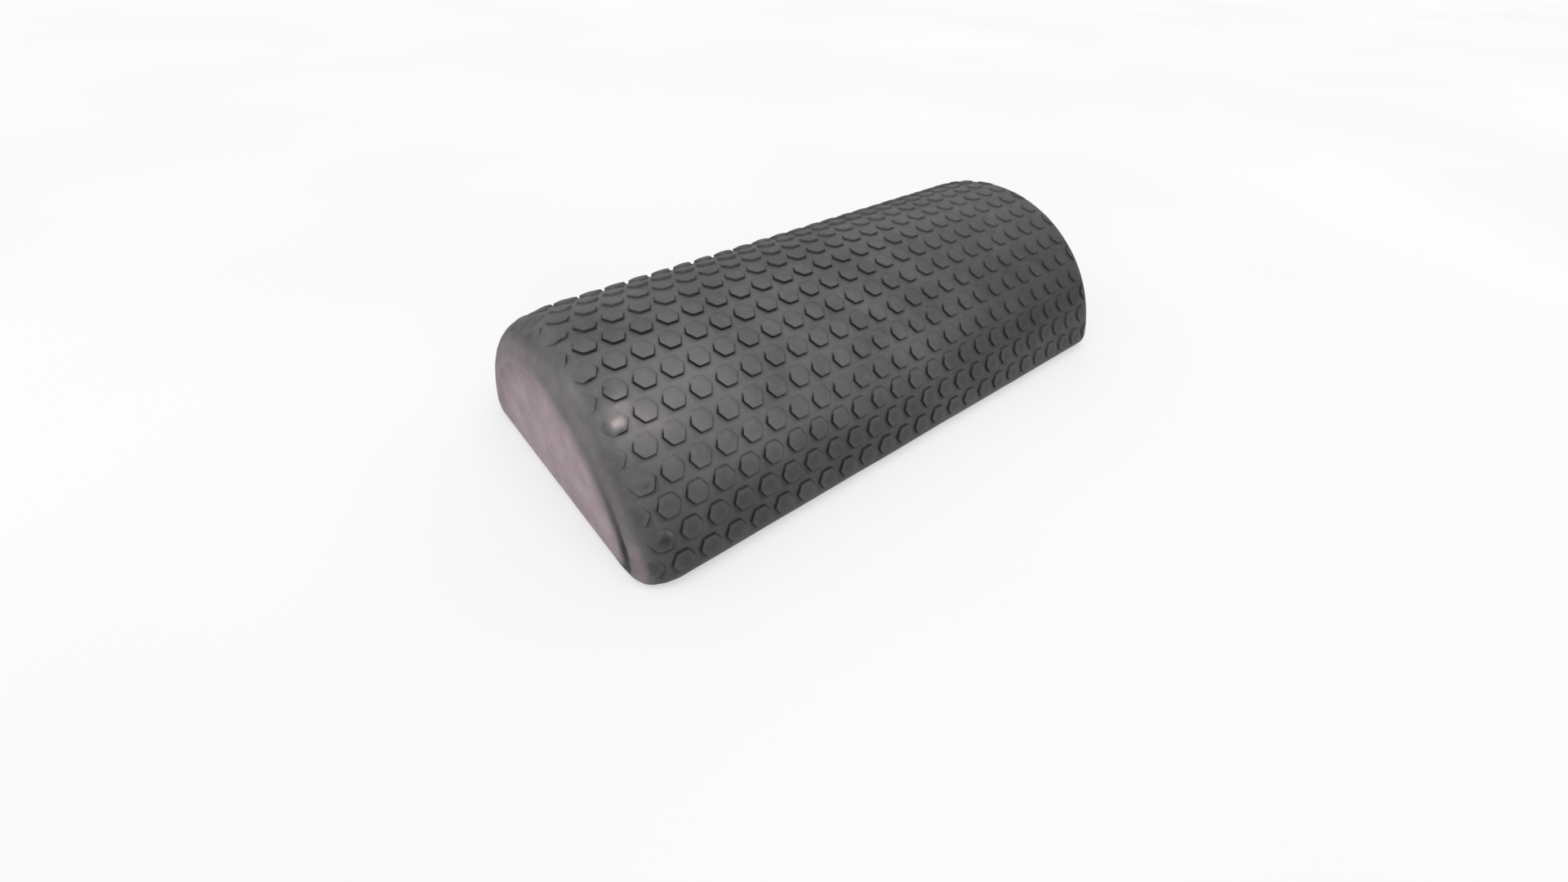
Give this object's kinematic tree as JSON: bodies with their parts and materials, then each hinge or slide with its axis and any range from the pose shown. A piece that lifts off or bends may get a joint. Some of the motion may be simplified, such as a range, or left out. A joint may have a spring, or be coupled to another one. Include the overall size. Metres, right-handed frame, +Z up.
{
  "type": "half-round foam balance pad",
  "caption": "Half-round foam balance pad: a flat-bottomed D-section log with a studded grip skin over the arc, rolled end shoulders and flat end faces.",
  "frame": {"origin": "middle of the flat underside, at floor level", "axes": "+X along the length towards the end with the tighter shoulder, +Y across, +Z up through the crest of the arc"},
  "size_m": [0.3, 0.1542, 0.075],
  "materials": {
    "core_foam": "matte",
    "skin_foam": "matte",
    "base_foam": "matte",
    "end_foam": "matte"
  },
  "bodies": {
    "root": {"foam_core": "core_foam", "textured_skin": "skin_foam", "base_sheet": "base_foam", "end_pad_front": "end_foam", "end_pad_rear": "end_foam"}
  },
  "joints": []
}
